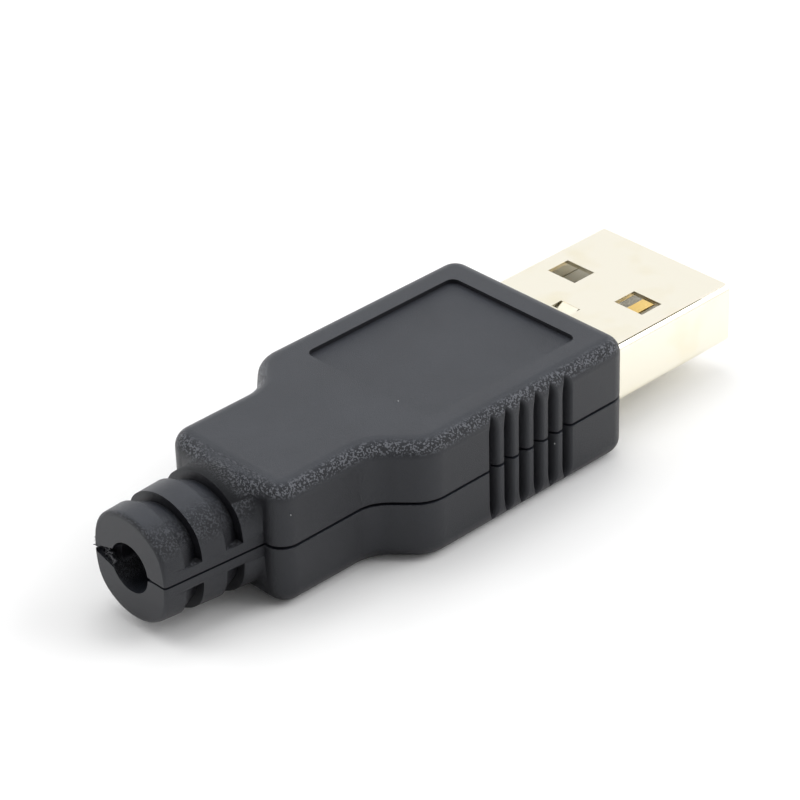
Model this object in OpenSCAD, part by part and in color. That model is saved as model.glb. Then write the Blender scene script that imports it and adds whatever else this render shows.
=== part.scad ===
// USB type A plug with a two-half clip-together cover, made for soldering to a cable.
//
// X runs along the plug, with the metal tip towards +X and the cable end towards -X.
// Z is up, and the cover's flat underside lies on Z = 0.
// Each piece is drawn from the middle of the cover's front face, with the joint
// between the two cover halves at height 0, and place() then moves it to the frame.

/* [Cover] */
// Width of the wide front section
cover_w = 16; // [15:0.1:20]
// Height of the two cover halves together
cover_h = 8.8; // [8:0.1:11]
// Length from the front face to the start of the shoulders
wide_len = 18; // [17:0.1:24]
// Width of the narrow rear section
neck_w = 10.5; // [10:0.1:13]
// Length of the narrow rear section behind the shoulders
neck_len = 7.6; // [6:0.05:12]
// Angle of the shoulders to the long axis, in degrees
shoulder_angle = 46.5; // [40:0.5:55]
// Radius that blends each end of a shoulder
shoulder_r = 2.6; // [2:0.1:2.8]
// Plan radius of the two front corners
front_corner_r = 1.4; // [1.35:0.05:1.8]
// Plan radius of the two corners next to the boot
rear_corner_r = 1.4; // [1.35:0.05:1.8]
// Rounding along the top and bottom edges
edge_r = 1.2; // [0.6:0.05:1.2]
// Thickness of the side and rear walls
wall = 1.25; // [1:0.05:1.5]
// Thickness of the front wall
front_wall = 1.5; // [1.2:0.1:2]
// Thickness of the top and bottom walls
roof = 1.2; // [1:0.05:1.4]

/* [Joint between the halves] */
// Height of the fine open line that shows between the halves
seam_gap = 0.12; // [0.05:0.01:0.2]
// Depth of that line, from the outside inwards
seam_depth = 0.5; // [0.3:0.05:0.6]
// Radius of the locating pegs in the wide section
peg_r = 0.6; // [0.4:0.05:0.7]
// Length of the locating pegs
peg_len = 1.5; // [1:0.1:1.8]
// Radius of the small pegs at the front and rear walls
small_peg_r = 0.4; // [0.3:0.05:0.45]
// Clearance round each peg
peg_fit = 0.05; // [0.03:0.01:0.1]

/* [Top panel] */
// Length of the shallow panel in the top
panel_len = 13.4; // [8:0.1:15]
// Width of the panel
panel_w = 11.4; // [6:0.1:12]
// Distance from the front face to the panel
panel_front = 2.5; // [2:0.1:3]
// Depth of the panel
panel_depth = 0.3; // [0.1:0.05:0.4]
// Corner radius of the panel
panel_r = 0.6; // [0.2:0.1:2]

/* [Finger grips] */
// Number of grip grooves on each side
grip_count = 6; // [3:1:7]
// Distance between grip grooves
grip_pitch = 1.338; // [1.2:0.001:1.6]
// Distance from the front face to the first groove
grip_front = 5.79; // [4:0.01:7]
// Radius of a groove's section
grip_r = 0.5; // [0.4:0.05:0.55]
// Depth of a groove
grip_depth = 0.45; // [0.2:0.05:0.5]
// Distance from the top or bottom face to the centre of a groove's round end
grip_end = 0.85; // [0.6:0.05:2]

/* [Cable boot] */
// Length of the boot behind the rear face
boot_len = 7.4; // [6:0.1:12]
// Radius of the boot at its free end
boot_end_r = 3.76; // [3.4:0.02:4]
// Radius of the boot at the rear face
boot_root_r = 4.2; // [3.8:0.02:4.25]
// Distance from the axis to the boot's flat sides, at its free end
boot_flat_end = 3.1; // [3:0.02:3.6]
// Distance from the axis to the boot's flat sides, at the rear face
boot_flat_root = 3.78; // [3.4:0.02:4]
// Rounding of the boot's outer end edge
boot_rim_r = 0.3; // [0.1:0.05:0.4]
// Radius of the cable hole
cable_r = 1.85; // [1.5:0.05:2.1]
// Number of ring grooves round the boot
ring_count = 2; // [1:1:3]
// Width of a ring groove
ring_w = 1.35; // [0.8:0.05:1.6]
// Distance between ring grooves
ring_pitch = 3.05; // [2:0.05:3.5]
// Distance from the boot's free end to the centre of the first ring groove
ring_start = 2.2; // [1.6:0.05:2.6]
// Radius at the bottom of the ring grooves
ring_floor_r = 3.05; // [2.7:0.05:3.3]
// Height at which a ring groove stops beside the joint between the halves
ring_stop = 0.9; // [0.5:0.05:1.5]

/* [Metal plug] */
// Width of the plug shell
shell_w = 12; // [11.9:0.05:12.1]
// Height of the plug shell
shell_h = 4.5; // [4.4:0.05:4.6]
// Length of the shell that stands out of the cover
shell_out = 12.25; // [11.75:0.05:13]
// Length of the shell inside the cover
shell_in = 6.5; // [6:0.1:8]
// Thickness of the sheet
sheet = 0.3; // [0.25:0.05:0.35]
// Outer radius of the folded corners
fold_r = 0.6; // [0.5:0.05:0.8]
// Width of the open seam where the folded sheet meets itself
fold_seam = 0.1; // [0.05:0.01:0.2]
// Angle of that seam round the fold, from upright, in degrees
seam_angle = 30; // [0:5:40]
// Clearance between the shell and the cover
shell_fit = 0.05; // [0.03:0.01:0.15]
// Distance from the tip to the latch windows
window_front = 5.02; // [4.8:0.02:5.4]
// Length of a latch window
window_len = 1.96; // [1.8:0.02:2.3]
// Width of a latch window
window_w = 2.5; // [2.3:0.05:2.6]
// Distance between the middles of the two windows
window_pitch = 6.16; // [5.8:0.02:6.4]
// Distance from the tip to the lanced tab that holds the insulator
lance_front = 9.3; // [9:0.05:10]
// Length of the lanced opening
lance_len = 0.95; // [0.7:0.05:1.2]
// Width of the lanced opening
lance_w = 1.75; // [1.2:0.05:2.2]
// Width of the strip that runs back from the shell's floor
tail_w = 5; // [4:0.1:5.5]
// Length of that strip behind the shell
tail_len = 9; // [8:0.1:9.5]
// Length of the two wings that grip the cable's jacket
wing_len = 2.6; // [2:0.1:3]
// Height of the wings above the strip
wing_h = 3.4; // [2.5:0.1:4]

/* [Insulator and contacts] */
// Distance from the tip to the front of the insulator
tongue_front = 0.6; // [0.3:0.05:1]
// Depth of the socket between the shell's roof and the insulator's tongue
socket_h = 1.95; // [1.9:0.01:2.05]
// Depth of the socket along the plug
socket_depth = 9.1; // [9:0.05:9.2]
// Clearance round the insulator in the shell
insulator_fit = 0.05; // [0.02:0.01:0.1]
// Length of the shelf behind the shell that carries the contact tails
shelf_len = 1.9; // [1.2:0.1:2.4]
// Width of a contact
contact_w = 1; // [0.9:0.05:1.1]
// Thickness of a contact
contact_t = 0.25; // [0.2:0.01:0.3]
// Distance of the inner contacts from the middle
inner_contact_y = 1; // [1:0.01:1.05]
// Distance of the outer contacts from the middle
outer_contact_y = 3.5; // [3.5:0.01:3.55]
// Distance from the tip to the inner contacts
inner_contact_front = 2.13; // [2:0.01:2.4]
// How much further forward the outer contacts reach
outer_contact_lead = 1; // [0.9:0.05:1.1]
// How far a contact stands above the tongue
contact_proud = 0.08; // [0.02:0.01:0.15]
// Clearance on each side of a contact
contact_fit = 0.03; // [0.02:0.01:0.08]
// Length of the bare solder tails behind the shelf
solder_tail = 2.2; // [1.5:0.1:3]
// Length of the bar that locks the contacts, along the plug
lock_len = 1.2; // [0.8:0.1:1.4]
// Height of the locking bar above the shelf
lock_h = 1.3; // [0.8:0.1:1.6]

/* [Hidden] */
$fn = 40;

over = 0.05;
arc_steps = 7;
edge_steps = 8;
least_corner = 0.15;
half_h = cover_h / 2;
cavity_h = half_h - roof;

// Plan of the cover: the shoulder's two bends and where the straight runs end.
half_w = cover_w / 2;
neck_y = neck_w / 2;
bend = tan(shoulder_angle / 2);
shoulder_len = (half_w - neck_y) / tan(shoulder_angle);
neck_start = wide_len + shoulder_len;
cover_len = neck_start + neck_len;
total_len = cover_len + boot_len;

// The front face's distance ahead of the middle of the whole plug.
front_x = (total_len - shell_out) / 2;

// Locating pegs: the wide section's pair rows, then the small ones in the end walls.
boss_r = peg_r + 0.55;
boss_y = half_w - wall - boss_r + 0.35;
boss_xs = [-9.4, -wide_len + 2.6];
front_peg_y = (half_w + shell_w / 2) / 2 + 0.05;
rear_peg_y = (neck_y + cable_r) / 2;
small_pegs = [[-front_wall / 2, front_peg_y], [-cover_len + wall / 2, rear_peg_y]];
small_peg_len = 1.1;

// How far the boot's root reaches into the cover's rear wall.
root_lap = wall / 2;

// Ribs across the cover: the saddle under the shell, the stop behind it, the cable ribs.
rib_t = 0.8;
saddle_x = -3.4;
stop_x = -shell_in - shell_fit - rib_t;
stop_h = shell_h / 2 - sheet + 0.05;
cable_rib_r = 1.55;
cable_rib_xs = [-neck_start - 0.6, -neck_start - 2.6, -neck_start - 4.6];

// The lanced tab: the slit beside it, and how far its free end is bent down.
lance_side = 0.15;
lance_drop = 0.4;

// Heights inside the plug shell.
shell_floor = -shell_h / 2 + sheet;
shell_roof = shell_h / 2 - sheet;
tongue_z = shell_roof - socket_h;
contact_z = tongue_z + contact_proud - contact_t;
block_front = shell_out - socket_depth;
block_rear = -shell_in + 0.4;
shelf_rear = -shell_in - shelf_len;
inner_w = shell_w - 2 * sheet - 2 * insulator_fit;
inner_h = shell_h - 2 * sheet - 2 * insulator_fit;
lock_x = shelf_rear + 0.25;
shelf_w = 2 * outer_contact_y + contact_w + 0.9;
lock_w = shelf_w - 0.5;
tail_slot_w = contact_w + 2 * contact_fit;

// Moves a piece from the front face's middle to the frame.
module place() {
    translate([front_x, 0, half_h]) children();
}

// Draws its children on both sides of the long axis.
module both_sides() {
    children();
    mirror([0, 1, 0]) children();
}

// Points of an arc round c, from angle a0 to angle a1.
function arc(c, r, a0, a1) =
    [for (i = [0 : arc_steps]) c + r * [cos(a0 + (a1 - a0) * i / arc_steps), sin(a0 + (a1 - a0) * i / arc_steps)]];

// Radius that is left of a plan corner, g inside the outer wall.
function inner_corner(r, g) = max(r - g, least_corner);

// Outline of the cover on the +Y side, g inside its outer wall, from the front to the rear:
// the front corner, the two bends of the shoulder and the rear corner.
function cover_side(g) = concat(
    arc([-g - inner_corner(front_corner_r, g), half_w - g - inner_corner(front_corner_r, g)],
        inner_corner(front_corner_r, g), 0, 90),
    arc([-wide_len + shoulder_r * bend, half_w - shoulder_r], shoulder_r - g, 90, 90 + shoulder_angle),
    arc([-neck_start - shoulder_r * bend, neck_y + shoulder_r], shoulder_r + g, shoulder_angle - 90, -90),
    arc([-cover_len + g + inner_corner(rear_corner_r, g), neck_y - g - inner_corner(rear_corner_r, g)],
        inner_corner(rear_corner_r, g), 90, 180));

// The whole outline, g inside the outer wall: the +Y side and its mirror image.
function cover_outline(g) = let (side = cover_side(g))
    concat(side, [for (i = [len(side) - 1 : -1 : 0]) [side[i][0], -side[i][1]]]);

// Plan of the cover without the boot, drawn g inside its outer wall on every side.
module cover_plan(g = 0) {
    polygon(cover_outline(g));
}

// The cover without its boot: outlines lofted up the side wall and over the rounded edge.
// Both flat ends are closed by strips that run across from one side to the other.
module cover_block() {
    levels = concat([[0, 0]], [for (i = [0 : edge_steps])
        [edge_r * (1 - cos(90 * i / edge_steps)), half_h - edge_r + edge_r * sin(90 * i / edge_steps)]]);
    rings = [for (level = levels) [for (p = cover_outline(level[0])) [p[0], p[1], level[1]]]];
    n = len(rings[0]);
    last = (len(rings) - 1) * n;
    polyhedron(
        points = [for (ring = rings) for (p = ring) p],
        faces = concat(
            [for (i = [0 : n / 2 - 2]) [i, i + 1, n - 2 - i, n - 1 - i]],
            [for (i = [0 : n / 2 - 2]) [last + n - 1 - i, last + n - 2 - i, last + i + 1, last + i]],
            [for (k = [0 : len(rings) - 2], i = [0 : n - 1])
                [k * n + i, (k + 1) * n + i, k * n + (i + 1) % n]],
            [for (k = [0 : len(rings) - 2], i = [0 : n - 1])
                [k * n + (i + 1) % n, (k + 1) * n + i, (k + 1) * n + (i + 1) % n]]));
}

// Half section of the boot along its axis, from the axis outwards.
module boot_section() {
    slope = (boot_root_r - boot_end_r) / boot_len;
    root = boot_root_r + slope * root_lap;
    difference() {
        polygon([[0, 0], [boot_end_r, 0], [root, boot_len + root_lap], [0, boot_len + root_lap]]);
        translate([boot_end_r - boot_rim_r, -over]) square([boot_rim_r + over, boot_rim_r + over]);
    }
    translate([boot_end_r - boot_rim_r, boot_rim_r]) circle(boot_rim_r);
}

// Ring grooves of the boot, which stop short of the joint between the halves.
module ring_grooves() {
    for (i = [0 : ring_count - 1]) translate([-total_len + ring_start + i * ring_pitch - ring_w / 2, 0, 0])
        difference() {
            rotate([0, 90, 0]) cylinder(h = ring_w, r = boot_root_r + 1);
            translate([-over, 0, 0]) rotate([0, 90, 0]) cylinder(h = ring_w + 2 * over, r = ring_floor_r);
            translate([-over, -boot_root_r - 2, -ring_stop])
                cube([ring_w + 2 * over, 2 * boot_root_r + 4, 2 * ring_stop]);
        }
}

// Tapered round boot with flat sides, whole, before it is split into halves.
module boot_blank() {
    flat_rate = (boot_flat_root - boot_flat_end) / boot_len;
    flat_inner = boot_flat_root + flat_rate * root_lap;
    difference() {
        intersection() {
            translate([-total_len, 0, 0]) rotate([0, 90, 0]) rotate_extrude() boot_section();
            translate([0, 0, -half_h]) linear_extrude(2 * half_h)
                polygon([[-total_len - over, boot_flat_end], [-cover_len + root_lap, flat_inner],
                    [-cover_len + root_lap, -flat_inner], [-total_len - over, -boot_flat_end]]);
        }
        ring_grooves();
    }
}

// One round-ended vertical groove for the fingers, on the +Y side.
module grip_groove(x) {
    end_z = half_h - grip_end;
    translate([x, half_w - grip_depth + grip_r, -over]) {
        cylinder(h = end_z + over, r = grip_r);
        translate([0, 0, end_z + over]) sphere(grip_r);
    }
}

// Outer form of one cover half, solid, lying on the joint plane.
module half_blank() {
    difference() {
        union() {
            cover_block();
            intersection() {
                boot_blank();
                translate([-total_len - 1, -half_w, 0]) cube([boot_len + wall + 2, cover_w, half_h]);
            }
        }
        both_sides() for (i = [0 : grip_count - 1]) grip_groove(-grip_front - i * grip_pitch);
    }
}

// The shallow step round the rim that leaves the fine open line between the halves.
module seam_step() {
    step_h = seam_gap / 2;
    translate([0, 0, -over]) linear_extrude(step_h + over) difference() {
        translate([-total_len - 1, -half_w - 1]) square([total_len + 2, cover_w + 2]);
        cover_plan(seam_depth);
        polygon([[-total_len + seam_depth, boot_flat_end - seam_depth],
            [-cover_len + wall, boot_flat_root - seam_depth],
            [-cover_len + wall, -boot_flat_root + seam_depth],
            [-total_len + seam_depth, -boot_flat_end + seam_depth]]);
    }
}

// Rectangle with rounded corners, seen along X, centred on the axis.
module round_rect(w, h, r) {
    square([w - 2 * r, h], center = true);
    square([w, h - 2 * r], center = true);
    for (a = [-1, 1], b = [-1, 1]) translate([a * (w / 2 - r), b * (h / 2 - r)]) circle(r);
}

// Stands a profile drawn in Y and Z upright and extrudes it along X from x0 to x1.
module along_x(x0, x1) {
    translate([x0, 0, 0]) rotate([90, 0, 90]) linear_extrude(x1 - x0) children();
}

// Hollow inside one half, with the opening for the shell and the channel for the cable.
module half_hollow() {
    difference() {
        translate([0, 0, -over]) linear_extrude(cavity_h + over) cover_plan(wall);
        translate([-front_wall, -half_w, -2 * over]) cube([front_wall, cover_w, half_h]);
    }
    along_x(-front_wall - over, over)
        round_rect(shell_w + 2 * shell_fit, shell_h + 2 * shell_fit, fold_r + shell_fit);
    translate([-total_len - over, 0, 0]) rotate([0, 90, 0])
        cylinder(h = boot_len + wall + 2 * over, r = cable_r);
    rotate([0, 0, 180]) along_x(total_len - 1, total_len + over)
        polygon([[-cable_r - 0.45, 0], [0, 2], [cable_r + 0.45, 0], [0, -2]]);
}

// Ribs inside one half: saddle, stop and notched cable ribs.
module half_ribs() {
    saddle_z = shell_h / 2 + shell_fit;
    inner_y = half_w - wall + over;
    translate([saddle_x - rib_t, -inner_y, saddle_z]) cube([rib_t, 2 * inner_y, cavity_h - saddle_z + over]);
    both_sides() translate([stop_x, tail_w / 2 + 0.2, stop_h])
        cube([rib_t, inner_y - tail_w / 2 - 0.2, cavity_h - stop_h + over]);
    neck_inner = neck_y - wall + over;
    for (x = cable_rib_xs) difference() {
        translate([x - rib_t / 2, -neck_inner, 0]) cube([rib_t, 2 * neck_inner, cavity_h + over]);
        translate([x - rib_t, 0, 0]) rotate([0, 90, 0]) cylinder(h = 2 * rib_t, r = cable_rib_r);
    }
}

// Round bosses that carry the pegs or their holes, each merged with the side wall.
module peg_bosses() {
    both_sides() for (x = boss_xs) intersection() {
        translate([x, boss_y, 0]) cylinder(h = cavity_h + over, r = boss_r);
        translate([x - 2 * boss_r, 0, 0]) cube([4 * boss_r, half_w - wall / 2, half_h]);
    }
}

module upper_cover() {
    place() color([0.06, 0.06, 0.065]) {
        difference() {
            union() {
                difference() {
                    half_blank();
                    half_hollow();
                }
                half_ribs();
                peg_bosses();
            }
            seam_step();
            translate([-panel_front - panel_len / 2, 0, half_h - panel_depth])
                linear_extrude(panel_depth + over) round_rect(panel_len, panel_w, panel_r);
        }
        both_sides() {
            for (x = boss_xs) translate([x, boss_y, -peg_len]) cylinder(h = peg_len + 0.3, r = peg_r);
            for (p = small_pegs) translate([p[0], p[1], -small_peg_len])
                cylinder(h = small_peg_len + 0.3, r = small_peg_r);
        }
    }
}

module lower_cover() {
    place() color([0.06, 0.06, 0.065]) difference() {
        mirror([0, 0, 1]) difference() {
            union() {
                difference() {
                    half_blank();
                    half_hollow();
                }
                half_ribs();
                peg_bosses();
            }
            seam_step();
        }
        both_sides() {
            for (x = boss_xs) translate([x, boss_y, -peg_len - 0.2])
                cylinder(h = peg_len + 0.2 + over, r = peg_r + peg_fit);
            for (p = small_pegs) translate([p[0], p[1], -small_peg_len - 0.2])
                cylinder(h = small_peg_len + 0.2 + over, r = small_peg_r + peg_fit);
        }
    }
}

// Section of the folded shell, a closed tube but for the seam in its -Y top fold.
module shell_section() {
    difference() {
        round_rect(shell_w, shell_h, fold_r);
        round_rect(shell_w - 2 * sheet, shell_h - 2 * sheet, fold_r - sheet);
        translate([-shell_w / 2 + fold_r, shell_h / 2 - fold_r]) rotate(seam_angle)
            translate([-fold_seam / 2, 0]) square([fold_seam, 2 * fold_r]);
    }
}

// The metal plug: a folded tube, its windows and lance, and the strip with cable wings.
module plug_shell() {
    window_x = shell_out - window_front - window_len;
    lance_x = shell_out - lance_front - lance_len;
    tail_floor = -shell_h / 2;
    tail_end = -shell_in - tail_len;
    place() color([0.86, 0.83, 0.74]) {
        difference() {
            along_x(-shell_in, shell_out) shell_section();
            both_sides() translate([window_x, (window_pitch - window_w) / 2, -shell_h])
                cube([window_len, window_w, 2 * shell_h]);
            translate([lance_x, -lance_w / 2, shell_roof - over]) cube([lance_len, lance_w, 1]);
        }
        translate([lance_x, 0, shell_h / 2]) rotate([90, 0, 0])
            linear_extrude(lance_w - 2 * lance_side, center = true) polygon([[lance_len + over, 0],
                [lance_len + over, -sheet], [lance_side, -sheet - lance_drop], [lance_side, -lance_drop]]);
        translate([tail_end, -tail_w / 2, tail_floor]) cube([tail_len + over, tail_w, sheet]);
        both_sides() translate([tail_end, tail_w / 2 - sheet, tail_floor])
            cube([wing_len, sheet, wing_h + sheet]);
    }
}

// Grooves and slots that the four contacts lie in.
module contact_channels() {
    for (y = [-outer_contact_y, -inner_contact_y, inner_contact_y, outer_contact_y])
        translate([shelf_rear - over, y - tail_slot_w / 2, contact_z])
            cube([contact_front(y) + over - shelf_rear + contact_fit, tail_slot_w, contact_t + contact_fit]);
}

// Distance of a contact's nose from the cover's front face.
function contact_front(y) =
    shell_out - inner_contact_front + (abs(y) > inner_contact_y + 0.5 ? outer_contact_lead : 0);

// Blocks of the insulator: the tongue, the full-height block and the rear shelf.
module insulator_blocks() {
    base_z = shell_floor + insulator_fit;
    translate([block_rear, -inner_w / 2, base_z])
        cube([shell_out - tongue_front - block_rear, inner_w, tongue_z - base_z]);
    translate([block_rear, -inner_w / 2, base_z])
        cube([block_front - block_rear, inner_w, inner_h]);
    translate([shelf_rear, -shelf_w / 2, base_z])
        cube([block_rear - shelf_rear + over, shelf_w, tongue_z - base_z]);
}

module insulator() {
    lance_x = shell_out - lance_front - lance_len;
    place() color([0.88, 0.88, 0.85]) difference() {
        intersection() {
            along_x(shelf_rear - over, shell_out) round_rect(inner_w, inner_h, fold_r - sheet);
            insulator_blocks();
        }
        contact_channels();
        translate([lance_x - insulator_fit, -lance_w / 2, shell_roof - lance_drop - insulator_fit])
            cube([lance_len + 4 * insulator_fit, lance_w, lance_drop + 1]);
    }
}

// Bar that sits on the shelf and holds the contact tails down.
module contact_lock() {
    place() color([0.9, 0.9, 0.88]) difference() {
        translate([lock_x, -lock_w / 2, tongue_z]) cube([lock_len, lock_w, lock_h]);
        for (y = [-outer_contact_y, -inner_contact_y, inner_contact_y, outer_contact_y])
            translate([lock_x - over, y - tail_slot_w / 2, tongue_z - over])
                cube([lock_len + 2 * over, tail_slot_w, contact_proud + over + contact_fit]);
    }
}

// One contact: a flat strip with its nose turned down, ending in a solder tail.
module contact(y) {
    nose_x = contact_front(y);
    tail_x = shelf_rear - solder_tail;
    place() color([0.85, 0.68, 0.3]) translate([0, y - contact_w / 2, contact_z]) {
        difference() {
            translate([tail_x, 0, 0]) cube([nose_x - tail_x, contact_w, contact_t]);
            translate([nose_x - 0.12, -over, contact_t]) rotate([0, 35, 0])
                cube([0.4, contact_w + 2 * over, 0.3]);
        }
    }
}

module contact_power() contact(-outer_contact_y);
module contact_data_minus() contact(-inner_contact_y);
module contact_data_plus() contact(inner_contact_y);
module contact_ground() contact(outer_contact_y);

upper_cover();
lower_cover();
plug_shell();
insulator();
contact_lock();
contact_power();
contact_data_minus();
contact_data_plus();
contact_ground();
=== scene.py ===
"""Visual model of a USB type A plug with a clip-together cover, ready for soldering to a cable.

Pieces are modelled in millimetres from the middle of the cover's front face, with the joint
between the two cover halves at height 0, and are then placed in the frame in metres.
"""
import math
import random

import bmesh
import bpy
from mathutils import Matrix, Vector


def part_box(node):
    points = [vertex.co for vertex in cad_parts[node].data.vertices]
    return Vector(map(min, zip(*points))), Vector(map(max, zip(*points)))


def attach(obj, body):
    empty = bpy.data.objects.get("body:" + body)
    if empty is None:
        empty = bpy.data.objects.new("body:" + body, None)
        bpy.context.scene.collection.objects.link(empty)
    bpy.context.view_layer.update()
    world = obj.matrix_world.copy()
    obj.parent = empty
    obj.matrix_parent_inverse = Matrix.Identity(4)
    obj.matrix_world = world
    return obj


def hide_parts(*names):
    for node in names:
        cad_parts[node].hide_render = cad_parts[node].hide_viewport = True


bl_info = {
    "name": "USB type A plug",
    "version": (1, 0, 0),
    "blender": (4, 5, 0),
    "location": "View3D > Sidebar > Plug",
    "description": "Builds the visual model of a solder-on plug with a two-half cover",
    "category": "Object",
}

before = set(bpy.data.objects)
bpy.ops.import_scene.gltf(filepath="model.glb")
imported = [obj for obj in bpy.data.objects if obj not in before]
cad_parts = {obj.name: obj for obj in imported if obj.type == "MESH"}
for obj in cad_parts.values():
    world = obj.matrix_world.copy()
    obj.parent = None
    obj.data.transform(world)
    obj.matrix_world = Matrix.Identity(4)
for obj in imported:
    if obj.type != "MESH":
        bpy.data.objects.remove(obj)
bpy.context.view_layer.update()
BODY = "root"
MM = 0.001

COVER_LOW, COVER_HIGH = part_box("upper_cover")
FRONT_X = COVER_HIGH.x
JOINT_Z = COVER_HIGH.z / 2
PLACE = Matrix.Translation((FRONT_X, 0, JOINT_Z)) @ Matrix.Diagonal((MM, MM, MM, 1))
TO_MM = PLACE.inverted()


def size(name, description, default, low=0.0):
    """A length property in metres whose default is written in millimetres."""
    return bpy.props.FloatProperty(name=name, description=description, default=default * MM, min=low,
                                   precision=5, subtype="DISTANCE", unit="LENGTH")


def colour(name, description, default):
    return bpy.props.FloatVectorProperty(name=name, description=description, default=default, size=3,
                                         min=0.0, max=1.0, subtype="COLOR")


def share(name, description, default, high=1.0):
    return bpy.props.FloatProperty(name=name, description=description, default=default, min=0.0, max=high,
                                   subtype="FACTOR")


class PLUG_PG_cover(bpy.types.PropertyGroup):
    """Sizes of the plastic cover halves"""
    width: size("Width", "Width of the wide front section", 2 * COVER_HIGH.y / MM)
    height: size("Height", "Height of both halves together", COVER_HIGH.z / MM)
    wide_length: size("Wide length", "Length from the front face to the shoulders", 18.0)
    neck_width: size("Neck width", "Width of the narrow rear section", 10.5)
    neck_length: size("Neck length", "Length of the narrow rear section", 7.6)
    shoulder_angle: bpy.props.FloatProperty(name="Shoulder angle", description="Angle of the shoulders to the axis",
                                            default=math.radians(46.5), subtype="ANGLE", unit="ROTATION")
    shoulder_radius: size("Shoulder radius", "Radius of each bend of a shoulder", 2.6)
    corner_radius: size("Corner radius", "Plan radius of the front and rear corners", 1.4)
    edge_radius: size("Edge radius", "Rounding along the top and bottom edges", 1.2)
    joint_gap: size("Joint gap", "Height of the open line between the halves", 0.15)
    panel_length: size("Panel length", "Length of the shallow panel in the top", 13.4)
    panel_width: size("Panel width", "Width of that panel", 11.4)
    panel_front: size("Panel front", "Distance from the front face to the panel", 2.5)
    panel_depth: size("Panel depth", "Depth of the panel", 0.3)


class PLUG_PG_grips(bpy.types.PropertyGroup):
    """Sizes of the finger grips on both sides"""
    count: bpy.props.IntProperty(name="Count", description="Number of grooves on each side", default=6, min=1, max=8)
    pitch: size("Pitch", "Distance between grooves", 1.338)
    front: size("Front", "Distance from the front face to the first groove", 5.79)
    half_width: size("Half width", "Half the width of a groove at the surface", 0.40)
    depth: size("Depth", "Depth of a groove", 0.80)
    soften: size("Soften", "Rounding where a groove meets the side", 0.28)
    fade_start: size("Fade start", "Height above the joint at which a groove begins to run out", 2.6)
    fade_length: size("Fade length", "Height over which it runs out", 1.5)


class PLUG_PG_boot(bpy.types.PropertyGroup):
    """Sizes of the cable boot behind the cover"""
    length: size("Length", "Length of the boot behind the rear face", 7.4)
    end_radius: size("End radius", "Radius at the free end", 3.76)
    root_radius: size("Root radius", "Radius at the rear face", 4.2)
    end_flat: size("End flat", "Distance from the axis to the flat sides at the free end", 3.4)
    root_flat: size("Root flat", "Distance from the axis to the flat sides at the rear face", 3.78)
    flat_soften: size("Flat softening", "Rounding where a flat side meets the round of the boot", 0.9)
    rim_radius: size("Rim radius", "Rounding of the outer end edge", 0.36)
    ring_width: size("Ring width", "Width of a ring groove", 1.3)
    ring_pitch: size("Ring pitch", "Distance between ring grooves", 3.05)
    ring_start: size("Ring start", "Distance from the free end to the first groove", 2.2)
    ring_depth: size("Ring depth", "Depth of a ring groove at its steep front side", 0.7)
    ring_lip: size("Ring lip", "Depth of a ring groove at its shallow rear side", 0.1)
    ring_stop: size("Ring stop", "Height at which a groove stops beside the joint", 0.75)
    bore_radius: size("Bore radius", "Radius of the cable hole", 1.70)
    lean: size("Lean", "How far the free end stands off the axis", 0.3)


class PLUG_PG_finish(bpy.types.PropertyGroup):
    """Colours and surface values"""
    plastic: colour("Cover plastic", "Base colour of the cover", (0.0065, 0.0062, 0.0085))
    # Painted sheen: a paler bluish colour laid on the upward faces of the cover, standing in for the light they
    # reflect.
    plastic_light: colour("Cover bloom", "Colour of the pale sheen_paint on the upward faces", (0.0200, 0.0225, 0.0300))
    # Painted highlight: pale glints along the rounded edges, standing in for light catching the grain there.
    painted_glints: colour("Edge wear", "Colour of the pale points along the rounded edges", (0.25, 0.26, 0.29))
    dust: colour("Dust", "Colour of the few specks that lie on the cover", (0.42, 0.43, 0.44))
    metal: colour("Plating", "Base colour of the plated shell", (0.930, 0.890, 0.765))
    metal_warm: colour("Warm plating", "Colour where the plating is thin", (0.82, 0.72, 0.42))
    contact: colour("Contacts", "Colour of the plated contacts", (0.90, 0.66, 0.26))
    insulator: colour("Insulator", "Colour of the insulator", (0.80, 0.80, 0.77))


def mm(group):
    """The group's lengths in millimetres, as a plain object; other values are kept."""
    class Sizes:
        pass
    found = Sizes()
    for prop in group.bl_rna.properties:
        if prop.identifier in ("rna_type", "name"):
            continue
        value = getattr(group, prop.identifier)
        setattr(found, prop.identifier, value / MM if prop.type == "FLOAT" and prop.unit == "LENGTH" else value)
    return found


# ---------------------------------------------------------------- mesh helpers

def new_piece(name, bm, place=PLACE):
    """Makes an object of a mesh modelled in millimetres."""
    bmesh.ops.transform(bm, matrix=place, verts=bm.verts)
    mesh = bpy.data.meshes.new(name)
    bm.to_mesh(mesh)
    bm.free()
    obj = bpy.data.objects.new(name, mesh)
    bpy.context.scene.collection.objects.link(obj)
    return obj


def combine(base, tool, operation, tidy=True):
    """The boolean of two bmeshes, as a new bmesh; both are used up."""
    left, right = new_piece("left", base, Matrix()), new_piece("right", tool, Matrix())
    cut = left.modifiers.new("cut", "BOOLEAN")
    cut.operation, cut.solver, cut.object = operation, "EXACT", right
    graph = bpy.context.evaluated_depsgraph_get()
    found = bmesh.new()
    found.from_mesh(left.evaluated_get(graph).to_mesh())
    for obj in (left, right):
        mesh = obj.data
        bpy.data.objects.remove(obj)
        bpy.data.meshes.remove(mesh)
    if tidy:
        bmesh.ops.remove_doubles(found, verts=found.verts, dist=1e-4)
    return found


def node_copy(node):
    """A merged copy of a CAD node's mesh, in millimetres."""
    bm = bmesh.new()
    bm.from_mesh(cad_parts[node].data)
    bmesh.ops.transform(bm, matrix=TO_MM, verts=bm.verts)
    bmesh.ops.remove_doubles(bm, verts=bm.verts, dist=5e-4)
    bmesh.ops.dissolve_degenerate(bm, edges=bm.edges, dist=5e-4)
    return bm


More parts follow.
